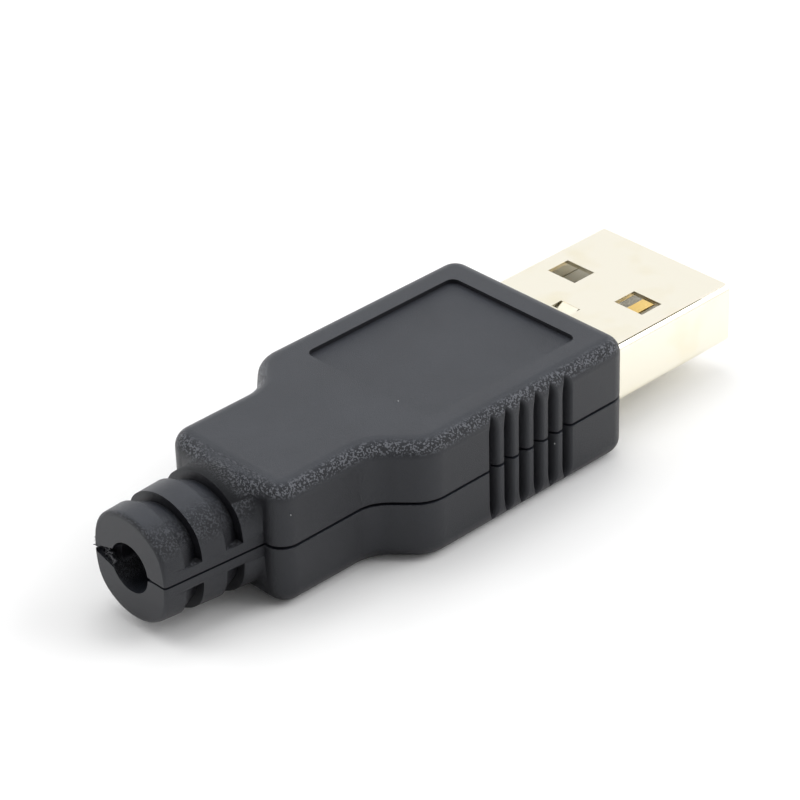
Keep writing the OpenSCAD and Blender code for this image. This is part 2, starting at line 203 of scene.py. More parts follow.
def box(low, high):
    bm = bmesh.new()
    low, high = Vector(low), Vector(high)
    matrix = Matrix.Translation((low + high) / 2) @ Matrix.Diagonal((*(high - low), 1))
    bmesh.ops.create_cube(bm, size=1, matrix=matrix)
    return bm


def rod(start, end, radius, segments=48):
    """A closed cylinder between two points."""
    bm = bmesh.new()
    start, end = Vector(start), Vector(end)
    way = end - start
    matrix = Matrix.Translation((start + end) / 2) @ way.to_track_quat("Z", "Y").to_matrix().to_4x4()
    bmesh.ops.create_cone(bm, cap_ends=True, segments=segments, radius1=radius, radius2=radius,
                          depth=way.length, matrix=matrix)
    return bm


def joined(*parts):
    """Several closed meshes as one, without merging their walls."""
    whole = bmesh.new()
    for part in parts:
        mesh = bpy.data.meshes.new("part")
        part.to_mesh(mesh)
        part.free()
        whole.from_mesh(mesh)
        bpy.data.meshes.remove(mesh)
    return whole


def smooth_piece(obj, material, angle=26, bevel=0.0, segments=2):
    """Shades a piece smoothly between its real edges, with an optional small rounding on them."""
    mesh = obj.data
    mesh.materials.clear()
    mesh.materials.append(material)
    for polygon in mesh.polygons:
        polygon.use_smooth = True
    if bevel:
        edge = obj.modifiers.new("edges", "BEVEL")
        edge.width, edge.segments, edge.limit_method = bevel * MM, segments, "ANGLE"
        edge.angle_limit, edge.use_clamp_overlap, edge.harden_normals = math.radians(angle), True, False
    else:
        mesh.set_sharp_from_angle(angle=math.radians(angle))
    even = obj.modifiers.new("even shading", "WEIGHTED_NORMAL")
    even.mode, even.weight, even.keep_sharp = "FACE_AREA", 100, True
    return obj


def apply_modifiers(obj):
    graph = bpy.context.evaluated_depsgraph_get()
    mesh = bpy.data.meshes.new_from_object(obj.evaluated_get(graph), preserve_all_data_layers=True, depsgraph=graph)
    old = obj.data
    obj.modifiers.clear()
    obj.data = mesh
    mesh.name = old.name
    bpy.data.meshes.remove(old)


# ---------------------------------------------------------------- cover halves

def side_profile(sizes):
    """Points (inset, height) up the side of one half: the joint's step, the wall and the rounded edge."""
    half, gap, r = sizes.height / 2, sizes.joint_gap / 2, sizes.edge_radius
    points = [(0.7, 0.0), (0.7, gap), (0.1, gap), (0.03, gap + 0.03), (0.0, gap + 0.1)]
    rows = 14
    low, high = gap + 0.1, half - r
    points += [(0.0, low + (high - low) * i / rows) for i in range(1, rows + 1)]
    steps = 18
    points += [(r - r * math.cos(a), high + r * math.sin(a))
               for a in (math.pi / 2 * i / steps for i in range(1, steps + 1))]
    return points


def sweep(bm, chain, way=(0, 0, 0), steps=1, centre=(0, 0, 0), angle=0.0):
    """Draws a chain of edges along a straight run or round a bend, and gives the new end of it."""
    step = Vector(way) / steps
    done = bmesh.ops.spin(bm, geom=chain, cent=Vector(centre), axis=(0, 0, 1), dvec=step, angle=angle,
                          steps=steps, use_duplicate=False)
    return done["geom_last"]


def cover_block(sizes, grips):
    """One solid half of the cover without its boot, standing on the joint plane."""
    half_w, neck_y, r, bend_r = sizes.width / 2, sizes.neck_width / 2, sizes.corner_radius, sizes.shoulder_radius
    angle = sizes.shoulder_angle
    tangent = bend_r * math.tan(angle / 2)
    slope = (half_w - neck_y) / math.sin(angle)
    neck_x = -sizes.wide_length - (half_w - neck_y) / math.tan(angle)
    rear_x = neck_x - sizes.neck_length
    bm = bmesh.new()
    verts = [bm.verts.new((-inset, 0, height)) for inset, height in side_profile(sizes)]
    chain = verts + [bm.edges.new(pair) for pair in zip(verts, verts[1:])]
    chain = sweep(bm, chain, (0, half_w - r, 0), steps=6)
    chain = sweep(bm, chain, steps=12, centre=(-r, half_w - r, 0), angle=math.pi / 2)
    first = grips.front - grips.pitch / 2
    last = first + grips.count * grips.pitch
    chain = sweep(bm, chain, (r - first, 0, 0))
    chain = sweep(bm, chain, (first - last, 0, 0), steps=grips.count * 20)
    chain = sweep(bm, chain, (last - sizes.wide_length + tangent, 0, 0))
    bend = Vector((-sizes.wide_length + tangent, half_w - bend_r, 0))
    chain = sweep(bm, chain, steps=12, centre=bend, angle=angle)
    run = slope - 2 * tangent
    chain = sweep(bm, chain, (-run * math.cos(angle), -run * math.sin(angle), 0))
    chain = sweep(bm, chain, steps=12, centre=(neck_x - tangent, neck_y + bend_r, 0), angle=-angle)
    chain = sweep(bm, chain, (rear_x + r - neck_x + tangent, 0, 0))
    chain = sweep(bm, chain, steps=12, centre=(rear_x + r, neck_y - r, 0), angle=math.pi / 2)
    sweep(bm, chain, (0, r - neck_y, 0), steps=8)
    bmesh.ops.remove_doubles(bm, verts=bm.verts, dist=1e-4)
    grip_grooves(bm, sizes, grips)
    bmesh.ops.mirror(bm, geom=bm.verts[:] + bm.edges[:] + bm.faces[:], matrix=Matrix(), merge_dist=1e-4, axis="Y")
    bmesh.ops.holes_fill(bm, edges=[e for e in bm.edges if e.is_boundary], sides=0)
    bmesh.ops.recalc_face_normals(bm, faces=bm.faces)
    return bm


def soft_least(a, b, k):
    """The smaller of two values, blended over k where they are close."""
    h = max(k - abs(a - b), 0.0) / k
    return min(a, b) - h * h * k / 4


def grip_grooves(bm, sizes, grips):
    """Presses upright round-bottomed grooves into the +Y side, running out through the rounded edge."""
    half_w = sizes.width / 2
    for v in bm.verts:
        if v.co.y < half_w - sizes.edge_radius:
            continue
        place = (-v.co.x - grips.front) / grips.pitch
        number = min(max(round(place), 0), grips.count - 1)
        away = abs(place - number) * grips.pitch
        if away > grips.pitch / 2 + 1e-4:
            continue
        fade = min(max((v.co.z - grips.fade_start) / grips.fade_length, 0.0), 1.0)
        depth = grips.depth * (1 - fade * fade)
        groove_y = half_w - depth + grips.depth * (away / grips.half_width) ** 1.15
        v.co.y = soft_least(v.co.y, groove_y, grips.soften)


def boot_blank(sizes, boot):
    """The whole boot: a turned taper with flattened sides, reaching a little into the cover."""
    rear_x = rear_face(sizes)
    end_x = rear_x - boot.length
    lap = 0.6
    root = boot.root_radius + (boot.root_radius - boot.end_radius) * lap / boot.length
    bm = bmesh.new()
    r = boot.rim_radius
    outline = [(end_x, 0), (end_x, boot.end_radius - r)]
    outline += [(end_x + r - r * math.cos(a), boot.end_radius - r + r * math.sin(a))
                for a in (math.pi / 2 * i / 6 for i in range(1, 7))]
    outline += [(rear_x + lap, root), (rear_x + lap, 0)]
    verts = [bm.verts.new((x, 0, z)) for x, z in outline]
    chain = verts + [bm.edges.new(pair) for pair in zip(verts, verts[1:])]
    bmesh.ops.spin(bm, geom=chain, cent=(0, 0, 0), axis=(1, 0, 0), angle=2 * math.pi, steps=120, use_merge=True,
                   use_duplicate=False)
    bmesh.ops.remove_doubles(bm, verts=bm.verts, dist=1e-4)
    rate = (boot.root_flat - boot.end_flat) / boot.length
    for v in bm.verts:
        flat = boot.end_flat + rate * (v.co.x - end_x)
        v.co.y = math.copysign(soft_least(abs(v.co.y), flat, boot.flat_soften), v.co.y)
    bmesh.ops.recalc_face_normals(bm, faces=bm.faces)
    return lean_boot(bm, sizes, boot)


def lean_boot(bm, sizes, boot):
    """Sets the boot's free end a little off the axis, as it is on a soft boot."""
    rear_x = rear_face(sizes)
    for v in bm.verts:
        v.co.y += boot.lean * max(rear_x - v.co.x, 0.0) / boot.length
    return bm


def rear_face(sizes):
    shoulder = (sizes.width - sizes.neck_width) / 2 / math.tan(sizes.shoulder_angle)
    return -sizes.wide_length - shoulder - sizes.neck_length


def ring_cutter(sizes, boot, number):
    """Cutter for one ring groove of the upper half, with round ends beside the joint."""
    end_x = rear_face(sizes) - boot.length
    middle = end_x + boot.ring_start + number * boot.ring_pitch
    w, outer = boot.ring_width / 2, boot.root_radius + 1
    taper = (boot.root_radius - boot.end_radius) / boot.length
    rear, front = (boot.end_radius + taper * (x - end_x) - depth
                   for x, depth in ((middle - w, boot.ring_lip), (middle + w, boot.ring_depth)))
    bm = bmesh.new()
    verts = [bm.verts.new(co) for co in ((middle - w, 0, rear), (middle + w, 0, front),
                                         (middle + w, 0, outer), (middle - w, 0, outer))]
    face = bm.faces.new(verts)
    turn = math.acos(0.5 * boot.ring_stop / outer)
    bmesh.ops.rotate(bm, verts=verts, cent=(0, 0, 0), matrix=Matrix.Rotation(turn, 3, "X"))
    bmesh.ops.spin(bm, geom=[face], cent=(0, 0, 0), axis=(1, 0, 0), angle=-2 * turn, steps=96, use_duplicate=False)
    bmesh.ops.recalc_face_normals(bm, faces=bm.faces)
    rate = (boot.root_flat - boot.end_flat) / boot.length
    for v in bm.verts:
        if math.hypot(v.co.y, v.co.z) < outer - 0.1:
            depth = boot.ring_lip if v.co.x < middle else boot.ring_depth
            flat = boot.end_flat + rate * (v.co.x - end_x) - depth
            v.co.y = math.copysign(soft_least(abs(v.co.y), flat, boot.flat_soften), v.co.y)
    bmesh.ops.bisect_plane(bm, geom=bm.verts[:] + bm.edges[:] + bm.faces[:], plane_co=(0, 0, boot.ring_stop),
                           plane_no=(0, 0, -1), clear_outer=True)
    bmesh.ops.holes_fill(bm, edges=[e for e in bm.edges if e.is_boundary], sides=0)
    ends = [e for e in bm.edges if all(abs(v.co.z - boot.ring_stop) < 1e-4 for v in e.verts)
            and abs(e.verts[0].co.x - e.verts[1].co.x) < 1e-4]
    bmesh.ops.bevel(bm, geom=ends, offset=0.5, offset_type="OFFSET", segments=8, profile=0.5, affect="EDGES",
                    material=-1, clamp_overlap=True)
    bmesh.ops.recalc_face_normals(bm, faces=bm.faces)
    return lean_boot(bm, sizes, boot)


def boot_half(sizes, boot):
    """The upper half of the boot, with its ring grooves and the open joint line."""
    bm = boot_blank(sizes, boot)
    for number in range(2):
        bm = combine(bm, ring_cutter(sizes, boot, number), "DIFFERENCE")
    gap = sizes.joint_gap / 2
    bmesh.ops.bisect_plane(bm, geom=bm.verts[:] + bm.edges[:] + bm.faces[:], plane_co=(0, 0, gap),
                           plane_no=(0, 0, -1), clear_outer=True)
    bmesh.ops.holes_fill(bm, edges=[e for e in bm.edges if e.is_boundary], sides=0)
    bmesh.ops.recalc_face_normals(bm, faces=bm.faces)
    rear_x = rear_face(sizes)
    land = box((rear_x - boot.length + 0.55, -2.55, 0), (rear_x + 0.55, 2.55, 0.5))
    return combine(bm, land, "UNION")


def plan_prism(sizes, inset, low, high):
    """An upright block over the cover's plan, inset from its walls."""
    half_w, neck_y = sizes.width / 2, sizes.neck_width / 2
    shift = inset * math.tan(sizes.shoulder_angle / 2)
    neck_x = rear_face(sizes) + sizes.neck_length
    corners = [(-inset, half_w - inset), (-sizes.wide_length + shift, half_w - inset),
               (neck_x + shift, neck_y - inset), (rear_face(sizes) + inset, neck_y - inset)]
    corners += [(x, -y) for x, y in reversed(corners)]
    bm = bmesh.new()
    face = bm.faces.new([bm.verts.new((x, y, low)) for x, y in corners])
    top = bmesh.ops.extrude_face_region(bm, geom=[face])
    bmesh.ops.translate(bm, vec=(0, 0, high - low), verts=[v for v in top["geom"] if isinstance(v, bmesh.types.BMVert)])
    bmesh.ops.recalc_face_normals(bm, faces=bm.faces)
    return bm


def inner_space(sizes, boot, node, side):
    """The hollow inside one half: the space within its walls that the CAD node leaves empty."""
    rear_x = rear_face(sizes)
    room = plan_prism(sizes, 0.7, -0.05, sizes.height / 2 - 0.6)
    solid = node_copy(node)
    if side < 0:
        bmesh.ops.scale(solid, vec=(1, 1, -1), verts=solid.verts)
        bmesh.ops.reverse_faces(solid, faces=solid.faces)
    room = combine(room, solid, "DIFFERENCE")
    end_x = rear_x - boot.length
    bore = lean_boot(rod((end_x - 0.6, 0, 0), (rear_x, 0, 0), boot.bore_radius, 72), sizes, boot)
    inner = rod((rear_x - 0.3, 0, 0), (rear_x + 1.0, 0, 0), boot.bore_radius, 72)
    slit = lean_boot(mouth_notch(end_x, boot), sizes, boot)
    passage = combine(combine(bore, inner, "UNION"), slit, "UNION")
    return combine(passage, combine(shell_opening(), room, "UNION"), "UNION")


def mouth_notch(end_x, boot):
    """Cutter for the small notch that the joint makes on both sides of the boot's mouth."""
    bm = bmesh.new()
    reach = boot.bore_radius + 0.95
    corners = ((-reach, 0), (0, 0.42), (1.4, 0.75), (3.2, 0.22), (3.2, -0.22), (1.4, -0.75), (0, -0.42))
    face = bm.faces.new([bm.verts.new((end_x - 0.5, y, z)) for y, z in corners])
    far = bmesh.ops.extrude_face_region(bm, geom=[face])
    bmesh.ops.translate(bm, vec=(1.3, 0, 0), verts=[v for v in far["geom"] if isinstance(v, bmesh.types.BMVert)])
    bmesh.ops.recalc_face_normals(bm, faces=bm.faces)
    return bm


def shell_opening():
    """Cutter for the opening in the front wall that the metal plug passes through."""
    bm = box((-0.95, -6.05, -2.3), (0.5, 6.05, 2.3))
    along = [e for e in bm.edges if abs(e.verts[0].co.x - e.verts[1].co.x) > 0.1]
    bmesh.ops.bevel(bm, geom=along, offset=0.65, offset_type="OFFSET", segments=8, profile=0.5, affect="EDGES",
                    material=-1)
    return bm


def pegs(sizes, extra=0.0):
    """The locating pegs under the upper half, or with extra size the holes for them."""
    rear_x = rear_face(sizes)
    spots = [(-9.4, 5.95, 0.6, 1.5), (-15.4, 5.95, 0.6, 1.5), (-0.75, 7.05, 0.4, 1.1), (rear_x + 0.625, 3.55, 0.4, 1.1)]
    depth = 4 * extra
    return joined(*(rod((x, s * y, -length - depth), (x, s * y, 0.3 if not extra else 0.05), r + extra, 32)
                    for x, y, r, length in spots for s in (1, -1)))


def cover_half(sizes, grips, boot, node, side):
    """One finished half of the cover, in millimetres."""
    bm = combine(cover_block(sizes, grips), boot_half(sizes, boot), "UNION")
    bm = combine(bm, inner_space(sizes, boot, node, side), "DIFFERENCE")
    if side > 0:
        bm = combine(bm, panel_cutter(sizes), "DIFFERENCE")
        return combine(bm, pegs(sizes), "UNION")
    bmesh.ops.scale(bm, vec=(1, 1, -1), verts=bm.verts)
    bmesh.ops.reverse_faces(bm, faces=bm.faces)
    return combine(bm, pegs(sizes, 0.05), "DIFFERENCE")


def panel_cutter(sizes):
    """Block that sinks the bare panel into the top."""
    top = sizes.height / 2
    x0 = -sizes.panel_front
    bm = box((x0 - sizes.panel_length, -sizes.panel_width / 2, top - sizes.panel_depth),
             (x0, sizes.panel_width / 2, top + 0.5))
    upright = [e for e in bm.edges if abs(e.verts[0].co.z - e.verts[1].co.z) > 0.1]
    bmesh.ops.bevel(bm, geom=upright, offset=0.6, offset_type="OFFSET", segments=8, profile=0.5, affect="EDGES",
                    material=-1)
    return bm


class PLUG_OT_cover(bpy.types.Operator):
    """Builds both halves of the plastic cover with their boot, grips, panel and inside"""
    bl_idname = "plug.build_cover"
    bl_label = "Build cover"

    def execute(self, context):
        scene = context.scene
        sizes, grips, boot = mm(scene.plug_cover), mm(scene.plug_grips), mm(scene.plug_boot)
        plastic = cover_plastic(scene.plug_finish, FRONT_X + rear_face(sizes) * MM)
        for node, side in (("upper_cover", 1), ("lower_cover", -1)):
            bm = cover_half(sizes, grips, boot, node, side)
            bmesh.ops.dissolve_limit(bm, angle_limit=math.radians(0.4), verts=bm.verts, edges=bm.edges, delimit=set())
            obj = new_piece(node.replace("_cover", "_half"), bm)
            smooth_piece(obj, plastic)
            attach(obj, BODY)
            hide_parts(node)
        return {"FINISHED"}


class PLUG_OT_shell(bpy.types.Operator):
    """Builds the folded metal plug from a merged copy of the CAD shell, shaded smoothly between its real edges"""
    bl_idname = "plug.build_shell"
    bl_label = "Build metal plug"

    def execute(self, context):
        bm = node_copy("plug_shell")
        bmesh.ops.dissolve_limit(bm, angle_limit=math.radians(1), verts=bm.verts, edges=bm.edges, delimit=set())
        obj = smooth_piece(new_piece("metal_plug", bm), plated_metal(context.scene.plug_finish))
        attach(obj, BODY)
        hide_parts("plug_shell")
        return {"FINISHED"}


def strand(points, thickness):
    """A thin closed strand that tapers to both ends, drawn through points in millimetres."""
    bm = bmesh.new()
    way = (Vector(points[1]) - Vector(points[0])).normalized()
    matrix = Matrix.Translation(points[0]) @ way.to_track_quat("Z", "Y").to_matrix().to_4x4()
    ring = bmesh.ops.create_circle(bm, cap_ends=True, segments=6, radius=thickness * 0.7, matrix=matrix)["verts"]
    face = bm.faces[:]
    for index, (start, stop) in enumerate(zip(points, points[1:])):
        done = bmesh.ops.extrude_face_region(bm, geom=face)["geom"]
        bmesh.ops.delete(bm, geom=face, context="FACES_ONLY") if index else None
        face = [f for f in done if isinstance(f, bmesh.types.BMFace)]
        verts = [v for v in done if isinstance(v, bmesh.types.BMVert)]
        bmesh.ops.translate(bm, vec=Vector(stop) - Vector(start), verts=verts)
        share_left = 1 - (index + 1) / len(points)
        bmesh.ops.scale(bm, vec=(0.55 + 0.45 * share_left,) * 3, space=Matrix.Translation(-Vector(stop)), verts=verts)
    bmesh.ops.recalc_face_normals(bm, faces=bm.faces)
    return bm


def torn_flash(end_x):
    """Torn threads of plastic that moulding left at the far side of the boot's mouth."""
    seeded = random.Random(7)
    strands = []
    for index in range(18):
        x = end_x + 0.14 + 0.03 * index
        y = 1.7 + 0.11 * index
        points = [Vector((x, y, seeded.uniform(-0.3, 0.3)))]
        for _ in range(4):
            step = Vector((seeded.uniform(-0.05, 0.02), seeded.uniform(0.10, 0.28), seeded.uniform(-0.34, 0.12)))
            points.append(points[-1] + step)
        for point in points:
            point.x = max(point.x, end_x + 0.14)
        strands.append(strand([p[:] for p in points], seeded.uniform(0.10, 0.16)))
    return joined(*strands)


DUST = ((-15.66, -2.39, 4.13, 0.07), (-15.52, -2.52, 4.13, 0.05), (-15.60, -2.62, 4.13, 0.05),
        (-27.26, -5.25, 2.42, 0.05), (-6.86, -7.9, -0.72, 0.05))


def dust_specks():
    """The few pale specks that lie on the cover, each a small flattened grain."""
    bm = bmesh.new()
    seeded = random.Random(3)
    for x, y, z, r in DUST:
        turn = Matrix.Rotation(seeded.uniform(0, math.pi), 4, "Z") @ Matrix.Diagonal((1.3, 0.8, 0.5, 1))
        if abs(y) > 5:
            y, turn = math.copysign(min(abs(y), 7.99), y) + 0.02, Matrix.Rotation(math.pi / 2, 4, "X") @ turn
        bmesh.ops.create_icosphere(bm, subdivisions=2, radius=r, matrix=Matrix.Translation((x, y, z - 0.02)) @ turn)
    return bm


class PLUG_OT_details(bpy.types.Operator):
    """Adds the torn mould flash at the boot's mouth and the few specks of dust on the cover"""
    bl_idname = "plug.build_details"
    bl_label = "Build small details"

    def execute(self, context):
        scene = context.scene
        sizes, boot = mm(scene.plug_cover), mm(scene.plug_boot)
        plastic = bpy.data.materials["cover plastic"]
        end_x = rear_face(sizes) - boot.length
        for name, bm, material in (("mould_flash", torn_flash(end_x), plastic),
                                   ("dust_specks", dust_specks(), dust(scene.plug_finish))):
            obj = smooth_piece(new_piece(name, bm), material, angle=60)
            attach(obj, BODY)
        return {"FINISHED"}


class PLUG_OT_inside(bpy.types.Operator):
    """Gives the insulator, the locking bar and the four contacts their finishes"""
    bl_idname = "plug.finish_inside"
    bl_label = "Finish insulator and contacts"

    def execute(self, context):
        finish = context.scene.plug_finish
        white, gold = insulator_plastic(finish), contact_metal(finish)
        for name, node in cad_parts.items():
            if name.startswith("contact_") and name != "contact_lock":
                dress(node, gold)
            elif name in ("insulator", "contact_lock"):
                dress(node, white)
        return {"FINISHED"}


def dress(obj, material):
    """Puts one material in every slot of a CAD node."""
    if not obj.data.materials:
        obj.data.materials.append(material)
    for index in range(len(obj.data.materials)):
        obj.data.materials[index] = material


# ---------------------------------------------------------------- materials

def group_tree(name, inputs, outputs):
    """An empty shader node group with named sockets: (name, type, default)."""
    tree = bpy.data.node_groups.new(name, "ShaderNodeTree")
    for label, kind, default in inputs:
        made = tree.interface.new_socket(label, in_out="INPUT", socket_type=kind)
        made.default_value = default
    for label, kind in outputs:
        tree.interface.new_socket(label, in_out="OUTPUT", socket_type=kind)
    return tree, tree.nodes.new("NodeGroupInput"), tree.nodes.new("NodeGroupOutput")


def node(tree, kind, **values):
    """Adds a node; plain values set its properties, and the inputs dictionary sets its sockets."""
    made = tree.nodes.new(kind)
    inputs = values.pop("inputs", {})
    for key, value in values.items():
        setattr(made, key, value)
    for key, value in inputs.items():
        made.inputs[key].default_value = value
    return made


def maths(tree, operation, first, second=None, clamp=False):
    made = tree.nodes.new("ShaderNodeMath")
    made.operation, made.use_clamp = operation, clamp
    for index, value in enumerate((first, second)):
        if value is None:
            continue
        if isinstance(value, (int, float)):
            made.inputs[index].default_value = value
        else:
            tree.links.new(value, made.inputs[index])
    return made.outputs[0]


def moulded_grain():
    """Group: the fine spark-eroded grain of a moulded surface, with a mask of scattered points that the cover uses for
    its painted glints.
    """
    if "moulded grain" in bpy.data.node_groups:
        return bpy.data.node_groups["moulded grain"]
    tree, start, end = group_tree("moulded grain", [
        ("Grain size", "NodeSocketFloat", 0.00012), ("Patch size", "NodeSocketFloat", 0.004)],
        [("Height", "NodeSocketFloat"), ("Speckle", "NodeSocketFloat"), ("Patches", "NodeSocketFloat")])
    place = tree.nodes.new("ShaderNodeTexCoord")
    fine_scale = maths(tree, "DIVIDE", 1.0, start.outputs["Grain size"])
    fine = node(tree, "ShaderNodeTexNoise", inputs={"Detail": 3.0, "Roughness": 0.6})
    tree.links.new(place.outputs["Object"], fine.inputs["Vector"])
    tree.links.new(fine_scale, fine.inputs["Scale"])
    speck = node(tree, "ShaderNodeTexVoronoi", feature="F1")
    tree.links.new(place.outputs["Object"], speck.inputs["Vector"])
    tree.links.new(maths(tree, "MULTIPLY", fine_scale, 0.8), speck.inputs["Scale"])
    picked = maths(tree, "GREATER_THAN", speck.outputs["Color"], 0.62)
    patch = node(tree, "ShaderNodeTexNoise", inputs={"Detail": 2.0, "Roughness": 0.5})
    tree.links.new(place.outputs["Object"], patch.inputs["Vector"])
    tree.links.new(maths(tree, "DIVIDE", 1.0, start.outputs["Patch size"]), patch.inputs["Scale"])
    tree.links.new(fine.outputs["Fac"], end.inputs["Height"])
    tree.links.new(picked, end.inputs["Speckle"])
    tree.links.new(patch.outputs["Fac"], end.inputs["Patches"])
    return tree


def new_material(name):
    material = bpy.data.materials.new(name)
    material.use_nodes = True
    tree = material.node_tree
    return material, tree, tree.nodes["Principled BSDF"]


def mix_colours(tree, factor, first, second):
    made = tree.nodes.new("ShaderNodeMix")
    made.data_type = "RGBA"
    for socket, value in ((0, factor), (6, first), (7, second)):
        if isinstance(value, bpy.types.NodeSocket):
            tree.links.new(value, made.inputs[socket])
        else:
            made.inputs[socket].default_value = value
    return made.outputs[2]


def round_edge_mask():
    """Group: where a surface turns between upright and level, as on the rounded edges and the boot."""
    if "round edge mask" in bpy.data.node_groups:
        return bpy.data.node_groups["round edge mask"]
    tree, start, end = group_tree("round edge mask", [("Level", "NodeSocketFloat", 0.97)],
                                  [("Mask", "NodeSocketFloat"), ("Upward", "NodeSocketFloat")])
    surface = tree.nodes.new("ShaderNodeNewGeometry")
    parts = tree.nodes.new("ShaderNodeSeparateXYZ")
    tree.links.new(surface.outputs["Normal"], parts.inputs[0])
    height = parts.outputs["Z"]
    rise = node(tree, "ShaderNodeMapRange", interpolation_type="SMOOTHSTEP", inputs={"From Min": 0.15, "From Max": 0.6})
    tree.links.new(height, rise.inputs["Value"])
    fall = node(tree, "ShaderNodeMapRange", interpolation_type="SMOOTHSTEP",
                inputs={"From Min": 0.80, "To Min": 1.0, "To Max": 0.0})
    tree.links.new(height, fall.inputs["Value"])
    tree.links.new(start.outputs["Level"], fall.inputs["From Max"])
    tree.links.new(maths(tree, "MULTIPLY", rise.outputs[0], fall.outputs[0]), end.inputs["Mask"])
    upward = node(tree, "ShaderNodeMapRange", interpolation_type="SMOOTHSTEP", inputs={"From Min": 0.6, "From Max": 0.99})
    tree.links.new(height, upward.inputs["Value"])
    tree.links.new(upward.outputs[0], end.inputs["Upward"])
    return tree


def cover_plastic(finish, boot_start):
    """Black moulded plastic with a fine grain, a painted bluish sheen on the upward faces and painted glints along its
    rounded edges.
    """
    material, tree, shader = new_material("cover plastic")
    grain = node(tree, "ShaderNodeGroup", node_tree=moulded_grain(), inputs={"Grain size": 0.00007, "Patch size": 0.0035})
    edge = node(tree, "ShaderNodeGroup", node_tree=round_edge_mask())
    patches = node(tree, "ShaderNodeMapRange", inputs={"From Min": 0.3, "From Max": 0.7, "To Min": 0.75})
    tree.links.new(grain.outputs["Patches"], patches.inputs["Value"])
    # Painted sheen: the upward faces get the paler colour, mottled by the noise patches, in place of reflected light.
    painted_sheen = maths(tree, "MULTIPLY", patches.outputs[0], edge.outputs["Upward"])
    base = mix_colours(tree, painted_sheen, (*finish.plastic, 1), (*finish.plastic_light, 1))
    place, along = tree.nodes.new("ShaderNodeTexCoord"), tree.nodes.new("ShaderNodeSeparateXYZ")
    tree.links.new(place.outputs["Object"], along.inputs[0])
    # Painted glints: scattered pale points on the rounded edges stand in for light catching the grain; they are
    # stronger on the cover than on the boot.
    painted_glint_strength = node(tree, "ShaderNodeMapRange", inputs={"From Min": boot_start - MM, "From Max": boot_start,
                                                       "To Min": 0.20, "To Max": 0.55})
    tree.links.new(along.outputs["X"], painted_glint_strength.inputs["Value"])
    points = maths(tree, "MULTIPLY", edge.outputs["Mask"], grain.outputs["Speckle"])
    painted_glint_share = maths(tree, "MULTIPLY", points, painted_glint_strength.outputs[0])
    tree.links.new(mix_colours(tree, painted_glint_share, base, (*finish.painted_glints, 1)), shader.inputs["Base Color"])
    rough = node(tree, "ShaderNodeMapRange", inputs={"To Min": 0.40, "To Max": 0.32})
    tree.links.new(grain.outputs["Patches"], rough.inputs["Value"])
    tree.links.new(rough.outputs[0], shader.inputs["Roughness"])
    height = maths(tree, "MULTIPLY", grain.outputs["Height"], maths(tree, "ADD", maths(tree, "MULTIPLY", edge.outputs["Mask"], 1.6), 0.55))
    bump = node(tree, "ShaderNodeBump", inputs={"Strength": 1.0, "Distance": 0.00006})
    tree.links.new(height, bump.inputs["Height"])
    tree.links.new(bump.outputs[0], shader.inputs["Normal"])
    shader.inputs["Specular IOR Level"].default_value = 0.5
    shader.inputs["Specular Tint"].default_value = (0.90, 0.94, 1.0, 1)
    return material


def dust(finish):
    """Pale dull dust."""
    material, tree, shader = new_material("dust")
    grain = node(tree, "ShaderNodeGroup", node_tree=moulded_grain(), inputs={"Grain size": 0.00005, "Patch size": 0.001})
    tree.links.new(mix_colours(tree, grain.outputs["Patches"], (*finish.dust, 1), (*(0.6 * c for c in finish.dust), 1)),
                   shader.inputs["Base Color"])
    shader.inputs["Roughness"].default_value = 0.8
    return material


def plated_metal(finish):
    """Pale plated steel, a little warmer where the plating is thin."""
    material, tree, shader = new_material("plated metal")
    grain = node(tree, "ShaderNodeGroup", node_tree=moulded_grain(), inputs={"Grain size": 0.0003, "Patch size": 0.003})
    patches = tree.nodes.new("ShaderNodeMapRange")
    patches.inputs["From Min"].default_value, patches.inputs["From Max"].default_value = 0.5, 0.8
    patches.inputs["To Max"].default_value = 0.3
    tree.links.new(grain.outputs["Patches"], patches.inputs["Value"])
    base = mix_colours(tree, patches.outputs[0], (*finish.metal, 1), (*finish.metal_warm, 1))
    tree.links.new(base, shader.inputs["Base Color"])
    shader.inputs["Metallic"].default_value = 1.0
    rough = tree.nodes.new("ShaderNodeMapRange")
    rough.inputs["To Min"].default_value, rough.inputs["To Max"].default_value = 0.20, 0.26
    tree.links.new(grain.outputs["Patches"], rough.inputs["Value"])
    tree.links.new(rough.outputs[0], shader.inputs["Roughness"])
    bump = node(tree, "ShaderNodeBump", inputs={"Strength": 0.1, "Distance": 0.00002})
    tree.links.new(grain.outputs["Patches"], bump.inputs["Height"])
    tree.links.new(bump.outputs[0], shader.inputs["Normal"])
    return material


def insulator_plastic(finish):
    """White moulded insulator plastic."""
    material, tree, shader = new_material("insulator plastic")
    grain = node(tree, "ShaderNodeGroup", node_tree=moulded_grain(), inputs={"Grain size": 0.0004, "Patch size": 0.003})
    base = mix_colours(tree, grain.outputs["Patches"], (*finish.insulator, 1), (*(0.93 * c for c in finish.insulator), 1))
    tree.links.new(base, shader.inputs["Base Color"])
    shader.inputs["Roughness"].default_value = 0.35
    bump = node(tree, "ShaderNodeBump", inputs={"Strength": 0.1, "Distance": 0.00002})
    tree.links.new(grain.outputs["Height"], bump.inputs["Height"])
    tree.links.new(bump.outputs[0], shader.inputs["Normal"])
    return material


